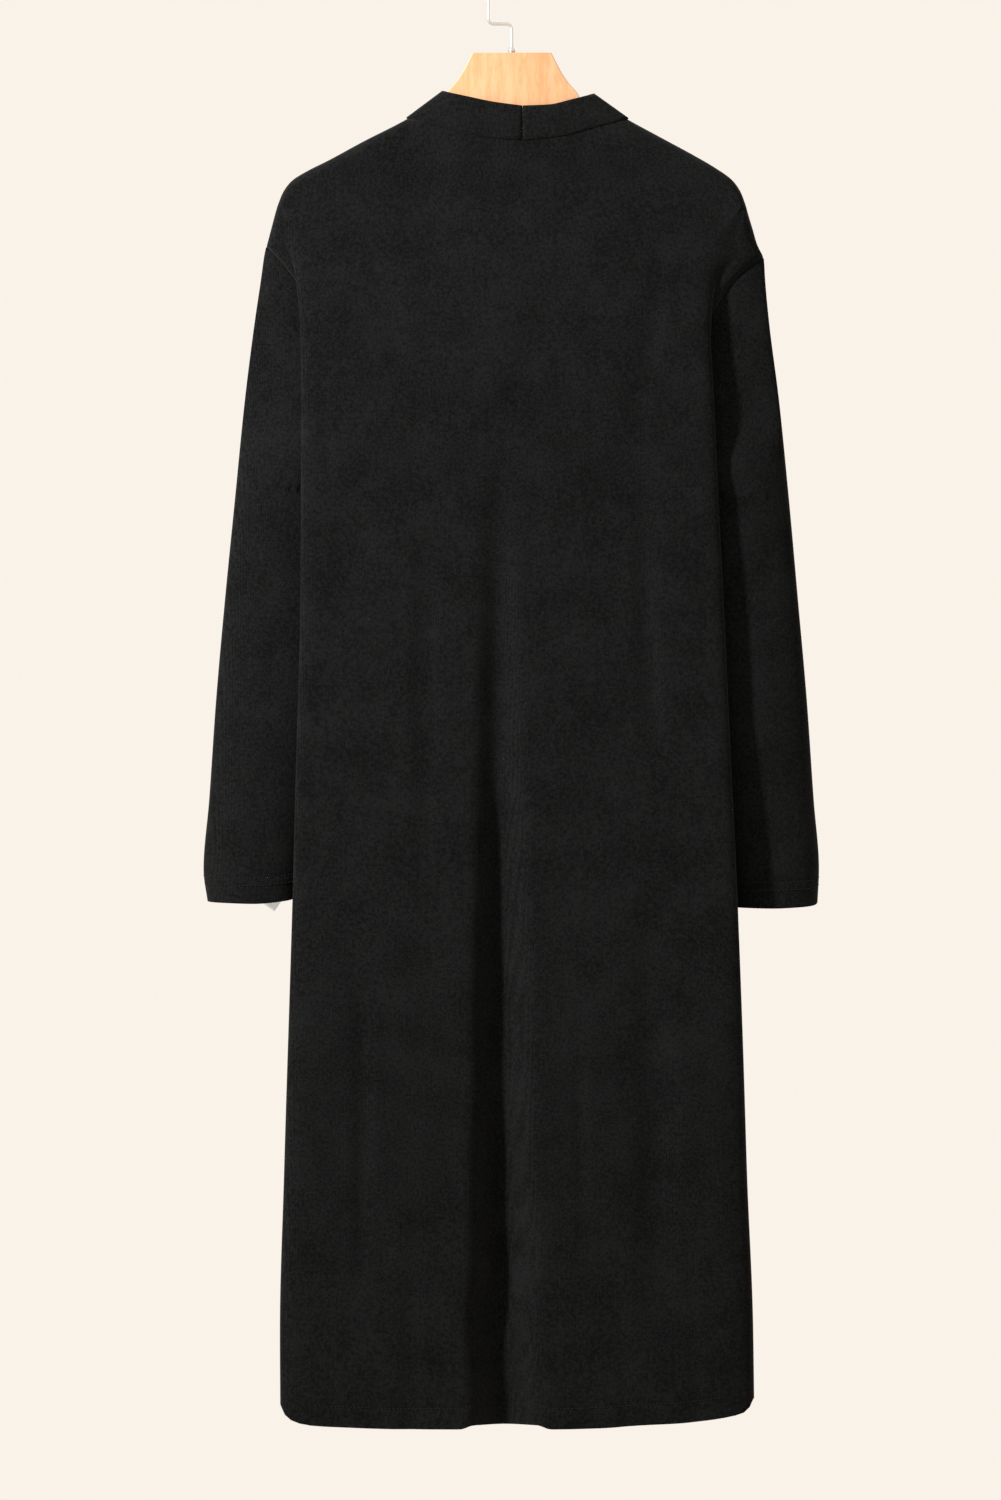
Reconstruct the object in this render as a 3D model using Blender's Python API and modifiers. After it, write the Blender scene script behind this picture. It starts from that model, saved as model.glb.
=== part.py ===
"""Long open-front knit cardigan, hanging on a wooden hanger.

The garment is seen from its back, which faces -Y. +X is to the right in that
view and +Z is up. The origin is the inner top of the hanger's hook, where a
rail holds it. Sizes below are in millimetres. "drop" is a distance below the
origin and "out" is a distance sideways from the hook's axis.
"""
import math
from bisect import bisect_right
from collections import namedtuple

import bmesh
import bpy

MM = 0.001
COLLECTION = "open_front_cardigan"

# Driving dimensions of the cloth
CLOTH = 1.4                # knit panel thickness
BAND_CLOTH = 2.8           # the band is doubled cloth
SEAM_GAP = 0.3             # gap between two sewn pieces
BAND_WIDTH = 38.0
HEM_DROP = 1240.0
UNDERARM_DROP = {"left": 440.0, "right": 448.0}
SHOULDER_POINT = {"left": 234.0, "right": 243.0}
FOLD_START = 199.0         # where the side fold leaves the shoulder line
NECK_KINK = {"left": (89.2, 126.4), "right": (98.7, 126.8)}
CENTRE_BACK = 9.0
SIGN = {"left": -1.0, "right": 1.0}

# Grid densities
FLAT_COLUMNS = 12          # each half of the back, centre to side fold
NECK_COLUMNS = 4           # of those, the ones that start on the neck
FRONT_COLUMNS = 8
WALL_COLUMNS = 6           # round the side fold and in to the side seam
PANEL_ROWS = 26
SLEEVE_HALF_COLUMNS = 10
SLEEVE_ROWS = 16
BAND_COLUMNS = 3
WALL_EASE = 3.0            # the shoulder's end turns over this many times slower

# The shoulder line, from the neck to the end of the dropped shoulder
Shoulder = namedtuple("Shoulder", "out left right")
SHOULDER_LINE = [
    Shoulder(89.2, 126.4, 121.0),
    Shoulder(98.7, 131.5, 126.8),
    Shoulder(124.9, 144.7, 141.1),
    Shoulder(156.3, 161.7, 158.1),
    Shoulder(173.3, 170.2, 168.1),
    Shoulder(186.9, 178.7, 177.9),
    Shoulder(193.7, 187.2, 186.9),
    Shoulder(198.0, 197.0, 197.6),
    Shoulder(200.5, 205.0, 206.5),
    Shoulder(204.8, 221.2, 220.8),
    Shoulder(208.2, 234.0, 232.5),
    Shoulder(213.4, 250.0, 243.0),
]

ShoulderEnd = namedtuple("ShoulderEnd", "drop out")

# The back neck seam, left to right
Neck = namedtuple("Neck", "x drop")
NECK_SEAM = [
    Neck(-89.2, 126.4),
    Neck(-72.2, 130.0),
    Neck(-52.6, 135.7),
    Neck(-20.0, 142.3),
    Neck(9.0, 144.3),
    Neck(40.9, 141.3),
    Neck(74.0, 132.8),
    Neck(98.7, 126.8),
]
NECK_DEPTH = 11.0          # the back neck stands this far behind the hanger's axis
NECK_ROUNDNESS = 8.0

# The band's free edge at the back neck, from centre back out to its fold
FreeEdge = namedtuple("FreeEdge", "share left_x left_drop right_x right_drop")
BAND_TOP = [
    FreeEdge(0.00, 9.0, 114.8, 9.0, 114.8),
    FreeEdge(0.35, -15.0, 111.6, 31.0, 113.9),
    FreeEdge(0.70, -40.3, 106.4, 52.0, 109.2),
    FreeEdge(1.00, -58.6, 102.7, 69.4, 105.0),
]
BAND_TOP_DEPTH = 9.5

# The fold at each side of the back, and of the front, by drop
Fold = namedtuple("Fold", "drop left right front_left front_right")
FOLD_OUT = [
    Fold(199.0, 198.3, 197.9, 198.3, 197.9),
    Fold(215.0, 188.6, 186.0, 190.0, 188.0),
    Fold(235.0, 184.2, 173.5, 184.0, 178.0),
    Fold(265.0, 181.8, 168.4, 180.0, 170.0),
    Fold(300.0, 179.6, 168.2, 177.0, 168.0),
    Fold(361.0, 178.4, 171.1, 174.0, 167.0),
    Fold(450.0, 178.7, 175.0, 170.0, 166.0),
    Fold(536.0, 179.2, 179.4, 167.0, 167.0),
    Fold(689.0, 183.3, 186.4, 171.0, 173.0),
    Fold(793.0, 185.9, 191.4, 178.0, 181.0),
    Fold(897.0, 188.6, 194.7, 182.0, 188.0),
    Fold(1024.0, 192.0, 198.1, 186.0, 193.0),
    Fold(1152.0, 195.4, 203.2, 190.0, 198.0),
    Fold(1240.0, 194.6, 204.1, 189.0, 199.0),
]

# Half depths of the hanging body and the roundness of its side folds
Depth = namedtuple("Depth", "drop back front bend")
BODY_DEPTH = [
    Depth(100.0, 9.6, 9.6, 0.0),
    Depth(199.0, 12.0, 12.0, 0.0),
    Depth(225.0, 14.5, 14.5, 2.0),
    Depth(250.0, 17.5, 17.5, 3.8),
    Depth(300.0, 22.5, 22.5, 4.5),
    Depth(360.0, 25.5, 26.0, 4.6),
    Depth(440.0, 28.5, 29.0, 4.6),
    Depth(600.0, 29.0, 34.0, 4.8),
    Depth(793.0, 29.5, 34.5, 5.5),
    Depth(1000.0, 30.5, 34.0, 8.5),
    Depth(1240.0, 31.5, 33.0, 10.0),
]

# The armhole seam down to the underarm, then the side seam
Seam = namedtuple("Seam", "drop out half_opening mid")
SIDE_SEAM = {
    "left": [
        Seam(234.0, 208.2, 0.2, 0.0),
        Seam(243.3, 199.2, 3.4, 0.0),
        Seam(252.0, 192.0, 5.0, 0.0),
        Seam(263.7, 183.5, 6.0, 0.0),
        Seam(300.0, 166.0, 7.6, 0.0),
        Seam(340.0, 151.0, 9.0, 0.0),
        Seam(380.0, 139.0, 8.6, 0.0),
        Seam(415.0, 130.5, 5.5, 0.0),
        Seam(440.0, 127.0, 0.2, 0.0),
        Seam(500.0, 133.0, 0.2, 1.5),
        Seam(600.0, 148.0, 0.2, 4.0),
        Seam(700.0, 163.0, 0.2, 6.0),
        Seam(793.0, 174.0, 0.2, 8.0),
        Seam(900.0, 179.0, 0.2, 6.0),
        Seam(1000.0, 183.0, 0.2, 4.0),
        Seam(1240.0, 188.0, 0.2, 0.0),
    ],
    "right": [
        Seam(243.0, 213.4, 0.2, 0.0),
        Seam(247.5, 206.6, 2.8, 0.0),
        Seam(255.2, 196.4, 4.4, 0.0),
        Seam(265.4, 186.2, 5.8, 0.0),
        Seam(279.0, 177.7, 7.2, 0.0),
        Seam(300.0, 165.5, 8.4, 0.0),
        Seam(340.0, 149.0, 9.0, 0.0),
        Seam(380.0, 137.0, 8.8, 0.0),
        Seam(420.0, 127.0, 6.0, 0.0),
        Seam(448.0, 122.0, 0.2, 0.0),
        Seam(500.0, 127.0, 0.2, 1.5),
        Seam(600.0, 142.0, 0.2, 4.0),
        Seam(700.0, 161.0, 0.2, 6.0),
        Seam(793.0, 177.0, 0.2, 8.0),
        Seam(900.0, 185.0, 0.2, 6.0),
        Seam(1000.0, 190.0, 0.2, 4.0),
        Seam(1240.0, 197.0, 0.2, 0.0),
    ],
}

# Each sleeve: its outer line, its half depth, how far it hangs forward, and
# its clearance to the seam that it nests against
Sleeve = namedtuple("Sleeve", "drop left right half_depth forward clear")
SLEEVE_LINE = [
    Sleeve(234.0, 208.6, 209.0, 0.0, 0.0, 2.2),
    Sleeve(243.0, 210.4, 213.8, 4.0, 0.0, 2.4),
    Sleeve(264.0, 213.3, 215.2, 8.0, 0.0, 3.0),
    Sleeve(300.0, 218.6, 218.6, 12.0, 0.0, 6.0),
    Sleeve(366.0, 226.9, 227.0, 15.0, 0.0, 4.4),
    Sleeve(451.0, 235.4, 235.5, 16.0, 0.0, 5.0),
    Sleeve(536.0, 243.9, 243.2, 16.5, 2.5, 4.6),
    Sleeve(621.0, 251.5, 250.8, 17.5, 6.0, 4.2),
    Sleeve(706.0, 257.5, 256.8, 19.0, 10.5, 5.0),
    Sleeve(765.0, 262.4, 261.4, 20.0, 14.5, 7.0),
    Sleeve(793.0, 260.4, 260.0, 19.5, 16.0, 7.6),
]
CUFF_DROP = {"left": 791.5, "right": 795.5}
CUFF_INNER_RISE = 3.0
TIP_BLEND = 60.0           # above the underarm the sleeve closes over this drop
ARMHOLE_LEAST = 2.0        # half opening of the sleeve's cut edge beside the underarm
SLEEVE_DROP = 2.8          # the sleeve's cut edge lies this far below the armhole

# The front edges, where the band is sewn on, and the band's slant there
FrontEdge = namedtuple("FrontEdge", "drop left right slant")
FRONT_EDGE = [
    FrontEdge(126.4, 89.2, 98.7, 38.0),
    FrontEdge(150.0, 87.5, 96.5, 31.0),
    FrontEdge(200.0, 83.0, 90.0, 19.0),
    FrontEdge(300.0, 73.0, 80.0, 6.0),
    FrontEdge(420.0, 66.0, 72.0, 0.0),
    FrontEdge(800.0, 64.0, 70.0, 0.0),
    FrontEdge(1240.0, 62.0, 71.0, 0.0),
]
BAND_DROPS = [0.0, 1.2, 3.5, 7.0, 12.0, 22.0, 40.0, 75.0, 125.0, 190.0, 260.0,
              350.0, 450.0, 560.0, 680.0, 800.0, 910.0, 1010.0]

# Long folds pressed in by hanging. crest is where the cloth starts to fall
# back, width runs to where it is level again, and fall is the share of that
# width at which the fold is deepest.
Crease = namedtuple("Crease", "face top bottom crest_top crest_bottom "
                              "width_top width_bottom fall depth")
CREASES = [
    Crease("back", 405.0, 1400.0, -30.0, -46.0, 36.0, 82.0, 0.34, 27.0),
    Crease("back", 780.0, 1180.0, 92.0, 98.0, 50.0, 62.0, 0.45, 5.0),
    Crease("back", 470.0, 780.0, -88.0, -92.0, 26.0, 34.0, 0.50, 2.6),
    Crease("back", 860.0, 1120.0, -140.0, -142.0, 24.0, 34.0, 0.50, 3.2),
    Crease("back", 420.0, 700.0, 96.0, 104.0, 26.0, 34.0, 0.50, 2.4),
    Crease("front", 430.0, 1500.0, -142.0, -150.0, 30.0, 58.0, 0.45, 15.0),
    Crease("front", 560.0, 1500.0, -104.0, -112.0, 20.0, 36.0, 0.50, 9.0),
    Crease("front", 470.0, 1500.0, 92.0, 96.0, 28.0, 54.0, 0.45, 13.0),
    Crease("front", 620.0, 1500.0, 142.0, 146.0, 22.0, 38.0, 0.50, 8.0),
]

# Hanger, in the plane of its board
BOARD_THICKNESS = 11.0
BOARD_ROUNDING = 4.6
Board = namedtuple("Board", "out drop")
BOARD_TOP = [
    Board(33.6, 69.4),
    Board(36.9, 76.0),
    Board(41.8, 85.4),
    Board(48.5, 95.4),
    Board(54.6, 102.2),
    Board(60.0, 110.4),
    Board(72.0, 124.4),
    Board(88.0, 135.4),
    Board(108.0, 140.8),
    Board(125.0, 147.2),
    Board(156.0, 163.4),
    Board(172.0, 171.6),
    Board(181.0, 178.2),
    Board(187.4, 185.6),
    Board(189.6, 192.0),
    Board(188.4, 198.0),
    Board(183.5, 201.6),
    Board(176.0, 200.4),
    Board(150.0, 188.6),
    Board(110.0, 172.8),
    Board(60.0, 160.4),
    Board(25.0, 155.6),
]
WIRE_RADIUS = 1.5
HOOK_RADIUS = 20.0         # to the wire's centre line
CRANK_DROP = 44.6
CRANK_BEND = 4.5
FERRULE_RADIUS = 3.4
FERRULE_HEIGHT = 4.2

# Label at the wearer's left side seam
LABEL_WIDTH = 24.0
LABEL_LENGTH = 54.0
LABEL_THICKNESS = 1.0
LABEL_ROOT = (-172.35, 20.5, 757.0)
LABEL_LEAN = 55.0          # degrees out from straight down
LABEL_CURL = 19.0          # how far its free end turns to the front
LABEL_CURL_REACH = 30.0


def smooth_step(value):
    value = min(max(value, 0.0), 1.0)
    return value * value * (3.0 - 2.0 * value)


def blend(low, high, share):
    return low + (high - low) * share


def follow(table, column, at):
    """Read a table's column along its first one, smoothly and with no overshoot."""
    keys = [row[0] for row in table]
    values = [getattr(row, column) for row in table]
    if at <= keys[0]:
        return values[0]
    if at >= keys[-1]:
        return values[-1]
    rises = [(values[k + 1] - values[k]) / (keys[k + 1] - keys[k]) for k in range(len(keys) - 1)]

    def slope(k):
        if k == 0:
            return rises[0]
        if k == len(keys) - 1:
            return rises[-1]
        before, after = rises[k - 1], rises[k]
        if before * after <= 0.0:
            return 0.0
        return 2.0 * before * after / (before + after)

    k = bisect_right(keys, at) - 1
    span = keys[k + 1] - keys[k]
    t = (at - keys[k]) / span
    t2, t3 = t * t, t * t * t
    return ((2 * t3 - 3 * t2 + 1) * values[k] + (t3 - 2 * t2 + t) * span * slope(k)
            + (3 * t2 - 2 * t3) * values[k + 1] + (t3 - t2) * span * slope(k + 1))


def bezier(controls, t):
    s = 1.0 - t
    weights = (s * s * s, 3 * s * s * t, 3 * s * t * t, t * t * t)
    return tuple(sum(w * c[axis] for w, c in zip(weights, controls)) for axis in (0, 1))


def arch(fall):
    """Share of full depth that cloth has reached this far below the shoulder line."""
    rounding = 9.0
    left = 1.0 - min(fall / rounding, 1.0)
    return math.sqrt(1.0 - left * left)


def crease_depth(face, x, drop):
    total = 0.0
    for crease in CREASES:
        if crease.face != face or drop <= crease.top:
            continue
        along = (drop - crease.top) / (crease.bottom - crease.top)
        if along >= 1.0:
            continue
        crest = blend(crease.crest_top, crease.crest_bottom, along)
        width = blend(crease.width_top, crease.width_bottom, along)
        share = (x - crest) / width
        if not 0.0 < share < 1.0:
            continue
        if share < crease.fall:
            profile = smooth_step(share / crease.fall)
        else:
            profile = 1.0 - smooth_step((share - crease.fall) / (1.0 - crease.fall))
        if crease.bottom > HEM_DROP:
            strength = math.sin(min(along * 1.12, 1.0) * math.pi / 2.0)
        else:
            strength = math.sin(along * math.pi)
        total += crease.depth * profile * strength
    return total


def fold_out(side, face, drop):
    column = side if face == "back" else "front_" + side
    return follow(FOLD_OUT, column, drop)


def bend_start(side, face, drop):
    """Where the flat of a panel ends and its side fold begins."""
    return fold_out(side, face, drop) - 2.4 * follow(BODY_DEPTH, "bend", drop)


def shoulder_drop(side, out):
    return follow(SHOULDER_LINE, side, out)


def edge_at(side, drop):
    """The panels' outer edge: out, half opening and middle depth."""
    if drop >= SHOULDER_POINT[side]:
        table = SIDE_SEAM[side]
        return tuple(follow(table, name, drop) for name in ("out", "half_opening", "mid"))
    line = sorted((getattr(row, side), row.out) for row in SHOULDER_LINE)
    return follow([ShoulderEnd(*pair) for pair in line], "out", drop), 0.2, 0.0


def wall_point(side, face, drop, share):
    """Round the side fold and in to the seam: out, and depth towards that face."""
    flip = -1.0 if face == "back" else 1.0
    depth = follow(BODY_DEPTH, face, drop)
    bend = follow(BODY_DEPTH, "bend", drop)
    start = bend_start(side, face, drop)
    tip = start + (fold_out(side, face, drop) - start) / 0.75
    inner = depth - 2.0 * bend
    seam_out, opening, mid = edge_at(side, drop)
    seam_depth = opening + flip * mid
    turn_end = start + 0.6 * max(0.0, seam_out - start)
    if share < 0.5:
        return bezier([(start, depth), (tip, depth), (max(tip, turn_end - 4.0), inner), (turn_end, inner)],
                      share * 2.0)
    return bezier([(turn_end, inner), (blend(turn_end, seam_out, 0.55), inner),
                   (seam_out, blend(seam_depth, inner, 0.55)), (seam_out, seam_depth)],
                  share * 2.0 - 1.0)


def hem_drop(x):
    return HEM_DROP - 9.0 * (abs(x) / 200.0) ** 5


def row_shares(rows):
    """Rows down a panel: close under the shoulder line, then wider apart."""
    near = [0.0, 0.0016, 0.0042, 0.0085, 0.018, 0.033, 0.048, 0.065, 0.085, 0.108, 0.135]
    rest = rows - len(near) + 1
    return near + [blend(near[-1], 1.0, (k + 1) / rest) for k in range(rest)]


def panel_column(side, face, column, columns, top_out, neck=False):
    """One column of a panel, from its top edge down to the hem."""
    flip = -1.0 if face == "back" else 1.0
    sign = SIGN[side]
    wall = column > columns
    if wall:
        share = (column - columns) / WALL_COLUMNS
        top_drop = blend(FOLD_START, SHOULDER_POINT[side], share)
    elif neck:
        top_drop = follow(NECK_SEAM, "drop", sign * top_out)
    else:
        top_drop = shoulder_drop(side, top_out)
        if column == columns:
            top_drop = FOLD_START

    def inner_edge(drop):
        return 0.0 if face == "back" else follow(FRONT_EDGE, side, drop)

    if not wall:
        start = inner_edge(top_drop)
        top_share = (top_out - start) / (bend_start(side, face, top_drop) - start)
        end_share = column / columns
        top_depth = 0.0
        if neck:
            reach = top_out / NECK_KINK[side][0]
            top_depth = NECK_DEPTH * math.sqrt(max(0.0, 1.0 - reach ** NECK_ROUNDNESS))

    points = []
    for row in row_shares(PANEL_ROWS):
        end_x = sign * (fold_out(side, face, HEM_DROP) if wall else
                        blend(inner_edge(HEM_DROP), bend_start(side, face, HEM_DROP), end_share))
        drop = blend(top_drop, hem_drop(end_x), row)
        fall = drop - top_drop
        if wall:
            eased = share + (1.0 - share) * (1.0 - arch(fall / WALL_EASE))
            out, depth = wall_point(side, face, drop, eased)
            points.append((sign * out, flip * depth, drop))
            continue
        eased = blend(top_share, end_share, smooth_step(fall / 160.0))
        out = blend(inner_edge(drop), bend_start(side, face, drop), eased)
        x = sign * out
        depth = blend(top_depth, follow(BODY_DEPTH, face, drop), arch(fall))
        points.append((x, flip * (depth - crease_depth(face, x, drop)), drop))
    return points


def half_panel(side, face):
    """All columns of one half of the back, or of one front."""
    kink_out = NECK_KINK[side][0]
    fold_top = edge_at(side, FOLD_START)[0]
    grid = []
    columns = FLAT_COLUMNS if face == "back" else FRONT_COLUMNS
    neck_columns = NECK_COLUMNS if face == "back" else 0
    for column in range(columns + WALL_COLUMNS + 1):
        neck = column < neck_columns
        if neck:
            top_out = kink_out * column / neck_columns
        elif column <= columns:
            top_out = blend(kink_out, fold_top, (column - neck_columns) / (columns - neck_columns))
        else:
            top_out = 0.0
        grid.append(panel_column(side, face, column, columns, top_out, neck))
    return grid


def sleeve_point(side, share, drop, face):
    """A point of the sleeve's section at a height, from its outer line inwards."""
    flip = -1.0 if face == "back" else 1.0
    outer = follow(SLEEVE_LINE, side, drop)
    seam_out, opening, mid = edge_at(side, min(drop, HEM_DROP))
    half_depth = follow(SLEEVE_LINE, "half_depth", drop)
    inner = seam_out + follow(SLEEVE_LINE, "clear", drop)
    closing = smooth_step((drop - UNDERARM_DROP[side] + 1.25 * TIP_BLEND) / TIP_BLEND)
    across = blend(1.0 - math.cos(share * math.pi / 2.0), 0.5 - 0.5 * math.cos(share * math.pi), closing)
    if drop < UNDERARM_DROP[side]:
        opening = max(opening, min(ARMHOLE_LEAST, 0.2 * (drop - SHOULDER_POINT[side])))
    else:
        opening = 0.0
    depth = (opening * math.sin(share * math.pi / 2.0)
             + half_depth * closing * math.sin(share * math.pi))
    y = flip * depth + follow(SLEEVE_LINE, "forward", drop)
    return SIGN[side] * blend(outer, inner, across), y


def sleeve_start(side, share):
    """Drop of the armhole seam for a sleeve column, outer line to underarm."""
    along = 0.5 - 0.5 * math.cos(share * math.pi)
    return blend(SHOULDER_POINT[side] + SLEEVE_DROP, UNDERARM_DROP[side] + 3.0 * SLEEVE_DROP, along)


def sleeve_grid(side):
    columns = []
    count = SLEEVE_HALF_COLUMNS
    for step in range(-count, count):
        face = "back" if step <= 0 else "front"
        share = abs(step) / count
        start = sleeve_start(side, share)
        points = []
        for row in range(SLEEVE_ROWS + 1):
            progress = (row / SLEEVE_ROWS) ** 1.15
            end = CUFF_DROP[side] - CUFF_INNER_RISE * share
            drop = blend(start, end, progress)
            reach = 1.0
            if drop < UNDERARM_DROP[side]:
                span = (drop - SHOULDER_POINT[side]) / (UNDERARM_DROP[side] - SHOULDER_POINT[side])
                reach = math.acos(max(-1.0, min(1.0, 1.0 - 2.0 * span))) / math.pi
            part = min(share / reach, 1.0) if reach > 0.0 else 1.0
            if row == 0:
                part = 1.0
            x, y = sleeve_point(side, part, drop, face)
            points.append((x, y, drop))
        columns.append(points)
    return columns


def band_section(side, seam, free):
    """Points across the band, from its seam to its free edge."""
    across = []
    for k in range(BAND_COLUMNS + 1):
        share = k / BAND_COLUMNS
        across.append(tuple(blend(seam[axis], free[axis], share) for axis in range(3)))
    return across


def band_grid(side):
    sign = SIGN[side]
    kink_out, kink_drop = NECK_KINK[side]
    first = sign * (0.5 * SEAM_GAP) + CENTRE_BACK
    edge_lift = SEAM_GAP + 1.2
    grid = []
    for share in (0.0, 0.2, 0.4, 0.6, 0.75, 0.86, 0.93, 0.97, 0.99):
        x = blend(first, sign * kink_out, share)
        reach = min(abs(x) / kink_out, 1.0)
        depth = NECK_DEPTH * math.sqrt(max(0.0, 1.0 - reach ** NECK_ROUNDNESS))
        seam = (x, -depth, follow(NECK_SEAM, "drop", x) - edge_lift)
        lean = BAND_TOP_DEPTH * math.sqrt(max(0.0, 1.0 - share ** NECK_ROUNDNESS))
        top_x = follow(BAND_TOP, side + "_x", share) + (sign * 0.5 * SEAM_GAP if share == 0.0 else 0.0)
        free = (top_x, -lean, follow(BAND_TOP, side + "_drop", share))
        grid.append(band_section(side, seam, free))
    for fall in BAND_DROPS:
        drop = kink_drop + fall
        if drop > hem_drop(0.0) - 1.0:
            drop = hem_drop(0.0)
        out = follow(FRONT_EDGE, side, drop) - (SEAM_GAP + CLOTH * 0.5)
        slant = math.radians(follow(FRONT_EDGE, "slant", drop))
        depth = follow(BODY_DEPTH, "front", drop) * arch(fall)
        free_out = out - BAND_WIDTH * math.cos(slant)
        free_drop = drop - BAND_WIDTH * math.sin(slant)
        if fall == 0.0:
            seam = (sign * (kink_out - 0.4), 0.0, kink_drop - edge_lift)
            free = (follow(BAND_TOP, side + "_x", 1.0), 0.0, follow(BAND_TOP, side + "_drop", 1.0))
        else:
            seam = (sign * out, depth, drop - edge_lift * math.sin(slant))
            free = (sign * free_out, depth, free_drop)
        grid.append(band_section(side, seam, free))
    out = follow(FRONT_EDGE, side, HEM_DROP) - (SEAM_GAP + CLOTH * 0.5)
    depth = follow(BODY_DEPTH, "front", HEM_DROP)
    grid.append(band_section(side, (sign * out, depth, HEM_DROP), (sign * (out - BAND_WIDTH), depth, HEM_DROP)))
    return grid


def principled(name, colour, roughness, metallic=0.0):
    material = bpy.data.materials.new(name)
    material.use_nodes = True
    shader = material.node_tree.nodes["Principled BSDF"]
    shader.inputs["Base Color"].default_value = (*colour, 1.0)
    shader.inputs["Roughness"].default_value = roughness
    shader.inputs["Metallic"].default_value = metallic
    return material


def add_object(name, data, material, collection):
    data.materials.append(material)
    item = bpy.data.objects.new(name, data)
    collection.objects.link(item)
    return item


def cloth_object(name, grid, material, collection, thickness, closed=False):
    """A grid of points as an open surface, thickened by Solidify."""
    mesh = bpy.data.meshes.new(name)
    build = bmesh.new()
    rows = [[build.verts.new((x * MM, y * MM, -drop * MM)) for x, y, drop in column] for column in grid]
    count = len(rows)
    for i in range(count if closed else count - 1):
        this, after = rows[i], rows[(i + 1) % count]
        for j in range(len(this) - 1):
            build.faces.new((this[j], this[j + 1], after[j + 1], after[j]))
    bmesh.ops.recalc_face_normals(build, faces=build.faces)
    build.to_mesh(mesh)
    build.free()
    mesh.shade_smooth()
    item = add_object(name, mesh, material, collection)
    solid = item.modifiers.new("Cloth", "SOLIDIFY")
    solid.thickness = thickness * MM
    solid.offset = 0.0
    solid.thickness_clamp = 0.0
    return item


def trim_at_seam(item, face):
    """Cut a thickened panel back to its side of the seams that it shares."""
    view = bpy.context.evaluated_depsgraph_get()
    mesh = bpy.data.meshes.new_from_object(item.evaluated_get(view))
    item.modifiers.clear()
    item.data = mesh
    for vertex in mesh.vertices:
        side = "left" if vertex.co.x < 0.0 else "right"
        middle = edge_at(side, -vertex.co.z / MM)[2]
        if face == "back":
            vertex.co.y = min(vertex.co.y, (middle - SEAM_GAP / 2.0) * MM)
        else:
            vertex.co.y = max(vertex.co.y, (middle + SEAM_GAP / 2.0) * MM)


def make_body(collection):
    cloth = principled("knit", (0.012, 0.012, 0.013), 0.9)
    left, right = half_panel("left", "back"), half_panel("right", "back")
    panel = cloth_object("back", left[::-1] + right[1:], cloth, collection, CLOTH)
    trim_at_seam(panel, "back")
    for side in ("left", "right"):
        panel = cloth_object("front_" + side, half_panel(side, "front"), cloth, collection, CLOTH)
        trim_at_seam(panel, "front")


def make_sleeves(collection):
    cloth = principled("sleeve_knit", (0.012, 0.012, 0.013), 0.9)
    for side in ("left", "right"):
        cloth_object("sleeve_" + side, sleeve_grid(side), cloth, collection, CLOTH, closed=True)


def make_bands(collection):
    cloth = principled("band_knit", (0.012, 0.012, 0.013), 0.9)
    for side in ("left", "right"):
        cloth_object("band_" + side, band_grid(side), cloth, collection, BAND_CLOTH)


def make_hanger(collection):
    outline = [(row.out, row.drop) for row in BOARD_TOP]
    outline = outline + [(-out, drop) for out, drop in reversed(outline)]
    curve = bpy.data.curves.new("hanger_board", "CURVE")
    curve.dimensions = "2D"
    curve.fill_mode = "BOTH"
    curve.extrude = (BOARD_THICKNESS / 2.0 - BOARD_ROUNDING) * MM
    curve.bevel_depth = BOARD_ROUNDING * MM
    curve.bevel_resolution = 2
    curve.offset = -BOARD_ROUNDING * MM
    spline = curve.splines.new("POLY")
    spline.points.add(len(outline) - 1)
    for point, (out, drop) in zip(spline.points, outline):
        point.co = (out * MM, -drop * MM, 0.0, 1.0)
    spline.use_cyclic_u = True
    board = add_object("hanger_board", curve, principled("wood", (0.8, 0.5, 0.25), 0.45), collection)
    board.rotation_euler = (math.pi / 2.0, 0.0, 0.0)


def hook_route():
    """The wire's centre line: over the rail, down, across and down to the board."""
    centre_drop = HOOK_RADIUS - WIRE_RADIUS
    route = []
    for step in range(-2, 13):
        angle = math.radians(15.0 * step)
        route.append((HOOK_RADIUS * math.cos(angle), centre_drop - HOOK_RADIUS * math.sin(angle)))
    for step in range(5):
        angle = math.radians(22.5 * step)
        route.append((-HOOK_RADIUS + CRANK_BEND * (1.0 - math.cos(angle)),
                      CRANK_DROP - CRANK_BEND * (1.0 - math.sin(angle))))
    for step in range(5):
        angle = math.radians(22.5 * step)
        route.append((-CRANK_BEND * (1.0 - math.sin(angle)),
                      CRANK_DROP + CRANK_BEND * (1.0 - math.cos(angle))))
    route.append((0.0, BOARD_TOP[0].drop - SEAM_GAP))
    return route


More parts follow.
